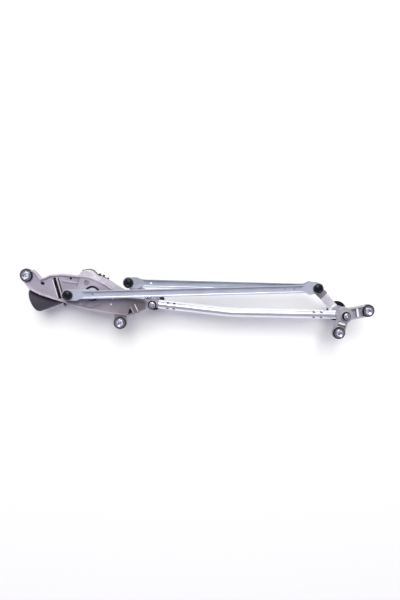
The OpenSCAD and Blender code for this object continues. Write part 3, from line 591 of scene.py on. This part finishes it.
def shaftOutline():
    # from the far end: bevelled thread, cone, plain shaft, its round near edge and the centre hole
    radius, nearEnd, farEnd, margin = (spindle[key] for key in ("radius", "nearEnd", "farEnd", "margin"))
    coneFar, coneNear = spindle["cone"]
    threadFar, threadNear = spindle["thread"]
    threadZ = np.linspace(threadFar + margin, threadNear - margin, 70)
    coneZ = np.linspace(coneFar + margin, coneNear - margin, 10)
    threadRadius, coneFoot = spindle["threadRadius"], spindle["coneFoot"]
    return np.concatenate([
        [(0, farEnd), (threadRadius - 0.8, farEnd), (threadRadius - 0.1, farEnd + 0.4)],
        np.stack([np.full_like(threadZ, threadRadius), threadZ], -1),
        [(threadRadius, coneFar), (coneFoot - 0.1, coneFar)],
        np.stack([coneFoot + (coneZ - coneFar) * spindle["coneSlope"], coneZ], -1),
        [(radius - 0.7, coneNear), (radius, coneNear), (radius, nearEnd - 0.8),
         (radius - 0.3, nearEnd - 0.25), (radius - 0.8, nearEnd),
         (spindle["centreHole"], nearEnd), (0.9, nearEnd - 0.8), (0, nearEnd - 1.1)]])


for side in ("left", "right"):
    shaft, body = side + "_spindle_shaft", side + "_rocker"
    place = middle(shaft)
    turned(side + "Spindle", shaft, body, "steel", shaftOutline(), place, 160, spindleWave)
    capProfile = rounded(spindle["cap"], spindle["capRound"])
    turned(side + "SpindleCap", side + "_spindle_cap", body, "black_gloss", capProfile, place)
    ringProfile = rounded(spindle["ring"], spindle["ringRound"])
    turned(side + "EndRing", side + "_end_ring", body, "black_gloss", ringProfile, place, finish="blackMatte")
print("spindles made")

# pressed channel links: a folded sheet with a flat eye at each end; a hole below 0 is counted from the far end
links = {
    "driveBar": {"node": "drive_bar", "body": "drive_link", "finish": "zincLink",
                 "from": "drive_crank_socket", "to": "drive_lever_socket", "web": 19,
                 "eyes": (13.0, 12.6), "broad": (13.0, 14.4), "holes": (55, -76, -54)},
    "tieBar": {"node": "tie_bar", "body": "tie_link", "finish": "zincTieShaded",
               "from": "tie_left_socket", "to": "tie_right_socket", "web": 3,
               "eyes": (13.0, 12.6), "broad": (13.0, 14.4), "holes": (51,)},
}
channel = {
    "thick": 1.6, "halfWidth": 8.8, "height": 8.0, "flat": 29, "slope": 9, "bend": 2.6, "holeRadius": 2.4,
    "eyeReach": 4, "shoulder": (18, 21), "eyeStep": 0.6, "shoulderStep": 0.8, "drill": (-2, 4),
}


def applied(piece):
    # the modifiers' result becomes the mesh
    bpy.context.view_layer.update()
    mesh = bpy.data.meshes.new_from_object(piece.evaluated_get(bpy.context.evaluated_depsgraph_get()))
    piece.modifiers.clear()
    piece.data = mesh


def lineBetween(first, last):
    # plan start, length and the directions along and across, from one round node to another
    start, end = np.array(middle(first)), np.array(middle(last))
    length = np.linalg.norm(end - start)
    along = (end - start) / length
    return start, length, along, np.array([-along[1], along[0]])


def makeDrill(name, centres, web):
    # one closed cylinder for each hole, through the web
    ring = np.linspace(0, 2 * math.pi, 24, endpoint=False)
    rim = channel["holeRadius"] * np.stack([np.cos(ring), np.sin(ring)], -1)
    level = web + np.array(channel["drill"])
    count, n = len(centres), len(ring)
    plan = np.broadcast_to(centres[:, None, None] + rim[None, None], (count, 2, n, 2))
    height = np.broadcast_to(level[None, :, None, None], (count, 2, n, 1))
    points = np.concatenate([plan, height], -1) * mm
    sides = gridFaces(2, n, False, True).tolist() + [list(range(n))[::-1], list(range(n, 2 * n))]
    faces = [[i + 2 * n * hole for i in face] for hole in range(count) for face in sides]
    mesh = bpy.data.meshes.new(name)
    mesh.from_pydata(points.reshape(-1, 3).tolist(), [], faces)
    work = bmesh.new()
    work.from_mesh(mesh)
    bmesh.ops.recalc_face_normals(work, faces=work.faces)
    work.to_mesh(mesh)
    work.free()
    cutter = bpy.data.objects.new(name, mesh)
    scene.collection.objects.link(cutter)
    return cutter


def makeLink(name, spec):
    # along u: half width W(u) of the plan, flange height H(u);
    # across: flat web, a bend of radius min(bend, H), upright flange
    start, length, along, across = lineBetween(spec["from"], spec["to"])
    (eyeA, eyeB), (broadA, broadB) = spec["eyes"], spec["broad"]
    half, thick, flat, slope = (channel[key] for key in ("halfWidth", "thick", "flat", "slope"))
    eye, eyeStep, shoulderStep = channel["eyeReach"], channel["eyeStep"], channel["shoulderStep"]
    turn = np.linspace(0, math.pi / 2, 16)
    zone = flat + slope + eye
    u = np.unique(np.round(np.concatenate([
        -eyeA * np.cos(turn), np.linspace(0, zone, 56), np.linspace(zone, length - zone, 40),
        np.linspace(length - zone, length, 56), length + eyeB * np.sin(turn)]), 5))
    places = np.array([eye, *channel["shoulder"], flat])
    plan = np.interp(u, np.concatenate([places, length - places[::-1]]),
                     [eyeA - eyeStep, broadA, broadA - shoulderStep, half,
                      half, broadB - shoulderStep, broadB, eyeB - eyeStep])
    plan = np.where(u < eye, np.sqrt(np.maximum(eyeA ** 2 - u ** 2, 0)), plan)
    plan = np.where(u > length - eye, np.sqrt(np.maximum(eyeB ** 2 - (u - length) ** 2, 0)), plan)
    rise = np.clip(np.minimum(u - flat, length - flat - u) / slope, 0, 1)
    tall = ((channel["height"] - thick / 2) * rise)[:, None]
    width = (plan - thick / 2 * np.minimum(rise * 2, 1))[:, None]
    bend = np.minimum(channel["bend"], tall)
    t, q, k = np.linspace(0, 1, 7), np.linspace(0, math.pi / 2, 7)[1:], np.linspace(0, 1, 5)[1:]
    y = np.concatenate([t * (width - bend), width - bend + bend * np.sin(q), np.repeat(width, len(k), 1)], 1)
    z = np.concatenate([0 * t * width, bend * (1 - np.cos(q)), bend + k * (tall - bend)], 1)
    y, z = np.concatenate([-y[:, :0:-1], y], 1), np.concatenate([z[:, :0:-1], z], 1)
    flatPlan = start + u[:, None, None] * along + y[..., None] * across
    points = np.concatenate([flatPlan, (spec["web"] + thick / 2 + z)[..., None]], -1) * mm
    faces = gridFaces(len(u), y.shape[1], False, False)
    piece = putPiece(name, points, faces, spec["body"], "zinc_link", [spec["node"]], spec["finish"])
    sheet = piece.modifiers.new("sheetThickness", "SOLIDIFY")
    sheet.thickness, sheet.offset, sheet.use_even_offset = thick * mm, 0, True
    holes = np.array([h if h > 0 else length + h for h in spec["holes"]])
    cutter = makeDrill(name + "Drill", start + holes[:, None] * along, spec["web"])
    cut = piece.modifiers.new("holes", "BOOLEAN")
    cut.operation, cut.object, cut.solver = "DIFFERENCE", cutter, "EXACT"
    applied(piece)
    bpy.data.objects.remove(cutter)
    smoothed(piece.data, sharpAngle["grid"])


for name, spec in links.items():
    makeLink(name, spec)
print("links made")

# joggled levers: a flat bar with round ends, bent up from the spindle to the ball, with folds across the slope
levers = {
    "rightLever": {"node": "right_lever", "body": "right_rocker", "from": "right_spindle_shaft",
                   "to": "drive_lever_socket", "base": 21, "end": 27, "finish": "leverPale"},
    "leftLever": {"node": "left_lever", "body": "left_rocker", "from": "left_spindle_shaft",
                  "to": "tie_left_socket", "base": 20, "end": 20, "finish": "leverSteel"},
}
lever = {
    "width": 22, "thick": 5, "hub": 14, "low": -51, "high": -4, "soft": 1.2, "power": 8,
    "fold": 1.3, "foldWidth": 1.2, "folds": (0.16, 0.36, 0.56, 0.76),
}


def blunt(wave, power):
    # sign(w) |w|^(2 / power): a circle's cosine and sine become those of a squarer round
    return np.sign(wave) * np.abs(wave) ** (2 / power)


def makeLever(name, spec):
    # top(u) = low + m (f(u - u1) - f(u - u2)), f(x) = (x + sqrt(x^2 + soft^2)) / 2;
    # cross-section |y/w|^8 + |n/h|^8 = 1
    start, length, along, across = lineBetween(spec["from"], spec["to"])
    half, thick, hub, rise = lever["width"] / 2, lever["thick"], lever["hub"], lever["high"] - lever["low"]
    run = length - spec["end"] - spec["base"]
    lean = thick * math.tan(math.atan2(rise, run) / 2)
    first, second = spec["base"] - lean, length - spec["end"] - lean
    turn = np.linspace(0, math.pi / 2, 14)
    u = np.unique(np.round(np.concatenate([
        -hub * np.cos(turn), np.linspace(0, length, 150), length + half * np.sin(turn)]), 5))
    width = np.where(u < math.sqrt(hub ** 2 - half ** 2), np.sqrt(np.maximum(hub ** 2 - u ** 2, 0)), half)
    width = np.where(u > length, np.sqrt(np.maximum(half ** 2 - (u - length) ** 2, 0)), width)

    def eased(x):
        return (x + np.sqrt(x ** 2 + lever["soft"] ** 2)) / 2

    top = lever["low"] + rise / run * (eased(u - first) - eased(u - second))
    for share in lever["folds"]:
        top = top - lever["fold"] * np.exp(-((u - first - share * run) / lever["foldWidth"]) ** 2)
    tilt = np.gradient(top, u)
    normal = np.stack([-tilt, np.ones_like(tilt)], -1) / np.sqrt(1 + tilt ** 2)[:, None]
    v = np.linspace(0, 2 * math.pi, 48, endpoint=False)
    y = width[:, None] * blunt(np.cos(v), lever["power"])
    depth = thick / 2 * (blunt(np.sin(v), lever["power"]) - 1)
    reach = u[:, None] + depth * normal[:, :1]
    flatPlan = start + reach[..., None] * along + y[..., None] * across
    points = np.concatenate([flatPlan, (top[:, None] + depth * normal[:, 1:])[..., None]], -1) * mm
    faces = gridFaces(len(u), len(v), False, True)
    putPiece(name, points, faces, spec["body"], "lever_steel", [spec["node"]], spec["finish"],
             sharpAngle["lever"])


for name, spec in levers.items():
    makeLever(name, spec)
print("levers made")


# small flat pieces: slabs with a broken rim, round at power 2 and nearly square at 8
def slab(name, place, axes, half, thick, finish, slot, power=2.0, broken=0.3):
    # x = X c(a), y = Y c(a - 90), z by layer, with c the blunted cosine and the rim drawn in at the broken edge
    a = np.linspace(0, 2 * math.pi, 48, endpoint=False)
    layers = np.array([0, broken, thick - broken, thick]) - thick
    inset = np.array([broken, 0, 0, broken])
    x = (half[0] - inset)[:, None] * blunt(np.cos(a), power)
    y = (half[1] - inset)[:, None] * blunt(np.sin(a), power)
    x, y = (np.concatenate([grid[:1] * 0, grid, grid[-1:] * 0]) for grid in (x, y))
    z = np.broadcast_to(np.concatenate([layers[:1], layers, layers[-1:]])[:, None], x.shape)
    points = (np.array(place) + np.stack([x, y, z], -1) @ np.array(axes)) * mm
    putPiece(name, points, gridFaces(len(x), len(a), False, True), "frame", slot, finish=finish)


def planAxes(along):
    # unit directions along and across in plan, and straight up
    along = np.array(along, float) / np.linalg.norm(along)
    return [(along[0], along[1], 0), (-along[1], along[0], 0), (0, 0, 1)]


# painted highlights on the pivot bracket's cross ribs, back from each mount towards the spindle
ribHighlights = {
    "rightArmLand": {"mount": "right_grommet", "back": 25.0, "half": (2.3, 10.0)},
    "footArmLand": {"mount": "foot_grommet", "back": 22.5, "half": (2.3, 8.5)},
}
highlightSize = {"top": 3.2, "thick": 2.8, "power": 8}
for name, spec in ribHighlights.items():
    mount = np.array(middle(spec["mount"]))
    axes = planAxes(mount - middle("right_spindle_shaft"))
    place = mount - spec["back"] * np.array(axes[0][:2])
    slab(name, (*place, highlightSize["top"]), axes, spec["half"], highlightSize["thick"], "paintedLightWhite", "cast", highlightSize["power"])

# a black disc in the motor bracket's oval hole: painted shade inside the hole
shadeDisc = {
    "place": (34.25, -18.4), "along": (2.5, -0.8), "half": (4.6, 3.3), "top": -1.2, "thick": 2.2, "power": 2.6,
}
slab("ovalHoleShade", (*shadeDisc["place"], shadeDisc["top"]), planAxes(shadeDisc["along"]), shadeDisc["half"], shadeDisc["thick"],
     "blackPlastic", "black_plastic", shadeDisc["power"])

# painted highlights along the motor bracket's ribs and rims, and a painted shadow line at the foot of its
# machined pad's step
ridges = {
    "ledgeRidge": {"ends": ((79, -12), (112, -17.5)), "half": 1.0, "top": 2.85, "finish": "castLight"},
    "slotRidge": {"ends": ((57.7, -10), (67.7, -51)), "half": 0.8, "top": 2.65, "finish": "paintedLightWhite"},
    "slotRibRidge": {"ends": ((67.3, -7.7), (77.3, -48.7)), "half": 1.1, "top": 3.85, "finish": "castLight"},
    "outerEndRidge": {"ends": ((241, -66), (249, -84.5)), "half": 0.9, "top": 4.25, "finish": "paintedLightWhite"},
    "innerEndRidge": {"ends": ((232, -72), (239, -87)), "half": 0.7, "top": 3.25, "finish": "castLight"},
    "padSeam": {"ends": ((117.6, -3.6), (110.1, -26.6)), "half": 0.55, "top": 0.25, "finish": "crimpShade"},
}
ridge = {"thick": 1.0, "power": 8}
for name, spec in ridges.items():
    start, end = np.array(spec["ends"], float)
    half = (np.linalg.norm(end - start) / 2, spec["half"])
    place = (*(start + end) / 2, spec["top"])
    slab(name, place, planAxes(end - start), half, ridge["thick"], spec["finish"], "cast", ridge["power"])

# white discs in the bracket's two holes: painted light, for the lit table seen through them
holeLights = {
    "locatingPinUpper": {"place": (190.4, -53.2), "radius": 2.1},
    "locatingPinLower": {"place": (186.7, -66.6), "radius": 2.5},
}
pin = {"top": -0.4, "thick": 2.4}
for name, spec in holeLights.items():
    half = (spec["radius"], spec["radius"])
    place = (*spec["place"], pin["top"])
    slab(name, place, planAxes((1, 0)), half, pin["thick"], "paintedLightWhite", "white_plastic")
print("lands, plug, ridges and pins made")

# dark patches at the bottom of the tube's dents: painted shade
mark = {"half": (3.2, 2.5), "thick": 1.4, "lift": 1.3, "power": 3}
for i, (centre, along, across) in enumerate(dentPlaces):
    for turn in (-1, 1):
        angle = math.radians(turn * tube["dentTurn"])
        outward = np.array([0, 0, math.cos(angle)]) + math.sin(angle) * across
        way = np.array([*along, 0])
        fromAxis = tube["radius"] - tube["dentDepth"] + mark["lift"]
        place = np.array([*centre, tube["height"]]) + fromAxis * outward
        axes = [way, np.cross(outward, way), outward]
        slab(f"crimpMark{2 * i + (turn > 0)}", place, axes, mark["half"], mark["thick"],
             "crimpShade", "zinc_tube", mark["power"])
print("crimp marks made")

# pieces that keep their solids' shape, with broken edges: the cast brackets have a broad round on the rim's
# top edges and a small one on their other long edges, and the other pieces have one width all over
castings = {
    "motor_bracket": {"name": "motorBracket", "finish": "castBracket",
                      "rim": 5.0, "rimWidth": 1.2, "otherWidth": 0.5},
    "pivot_bracket": {"name": "pivotBracket", "finish": "castPivot",
                      "rim": 3.5, "rimWidth": 1.1, "otherWidth": 0.5},
}
evenEdges = {
    "gear_housing": {"name": "gearHousing", "width": 0.7, "finish": "castNeckShaded"},
    "gear_cover": {"name": "gearCover", "width": 0.5},
    "crank_arm": {"name": "crankArm", "width": 0.5},
    "motor_screws": {"name": "motorScrews", "width": 0.35, "finish": "screwSteel"},
    "brush_housing": {"name": "brushHousing", "width": 0.8, "finish": "lugShade"},
    "crank_nut": {"name": "crankNut", "width": 0.35, "finish": "screwSteel"},
    "connector_shell": {"name": "connectorShell", "width": 0.4},
    "can_screws": {"name": "canScrews", "width": 0.3, "finish": "screwSteel"},
    "motor_can": {"name": "motorCan", "width": 0.4},
}
edges = {"bent": 35, "long": 2.5, "bushReach": 16.5, "rimSlack": 0.02, "merge": 1e-6, "flat": 1.0}


def roundCasting(work, spec):
    # the rim's edges first, then the others; spec["rim"] is the rim's height
    bushes = [Vector((*middle(side + "_grommet"), 0)) * mm for side in mountSides]

    def roundOff(width, onRim):
        # the long bent edges on the rim, or those off it, away from the bushes
        chosen = []
        for edge in work.edges:
            a, b = (corner.co for corner in edge.verts)
            atRim = all(abs(point.z / mm - spec["rim"]) < edges["rimSlack"] for point in (a, b))
            nearBush = any(((a + b) / 2 - place).xy.length < edges["bushReach"] * mm for place in bushes)
            bent = len(edge.link_faces) == 2 and edge.calc_face_angle(0) > math.radians(edges["bent"])
            if bent and not nearBush and atRim == onRim and edge.calc_length() > edges["long"] * mm:
                chosen.append(edge)
        bmesh.ops.bevel(work, geom=chosen, offset=width * mm, offset_type="OFFSET", segments=3,
                        profile=0.5, affect="EDGES", clamp_overlap=True)

    roundOff(spec["rimWidth"], True)
    roundOff(spec["otherWidth"], False)


def softened(node, spec):
    # a copy of the solid, merged and with its flat faces joined, then its edges broken
    mesh = nodes[node].data.copy()
    mesh.name = spec["name"]
    work = bmesh.new()
    work.from_mesh(mesh)
    bmesh.ops.remove_doubles(work, verts=work.verts, dist=edges["merge"])
    flat = math.radians(edges["flat"])
    bmesh.ops.dissolve_limit(work, angle_limit=flat, verts=work.verts, edges=work.edges)
    if node in castings:
        roundCasting(work, spec)
    work.to_mesh(mesh)
    work.free()
    piece = bpy.data.objects.new(spec["name"], mesh)
    scene.collection.objects.link(piece)
    if node in evenEdges:
        edge = piece.modifiers.new("brokenEdges", "BEVEL")
        edge.width = spec["width"] * mm
        edge.segments = 2
        edge.limit_method = "ANGLE"
        edge.angle_limit = math.radians(edges["bent"])
        edge.use_clamp_overlap = True
    smoothed(mesh, sharpAngle["solid"])
    level = piece.modifiers.new("flatFaces", "WEIGHTED_NORMAL")
    level.keep_sharp = True
    paint(piece, nodeSlot[node], spec.get("finish"))
    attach(piece, nodeBody[node])
    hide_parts(node)


for node, spec in {**castings, **evenEdges}.items():
    softened(node, spec)
print("edges broken on", len(castings) + len(evenEdges), "pieces")
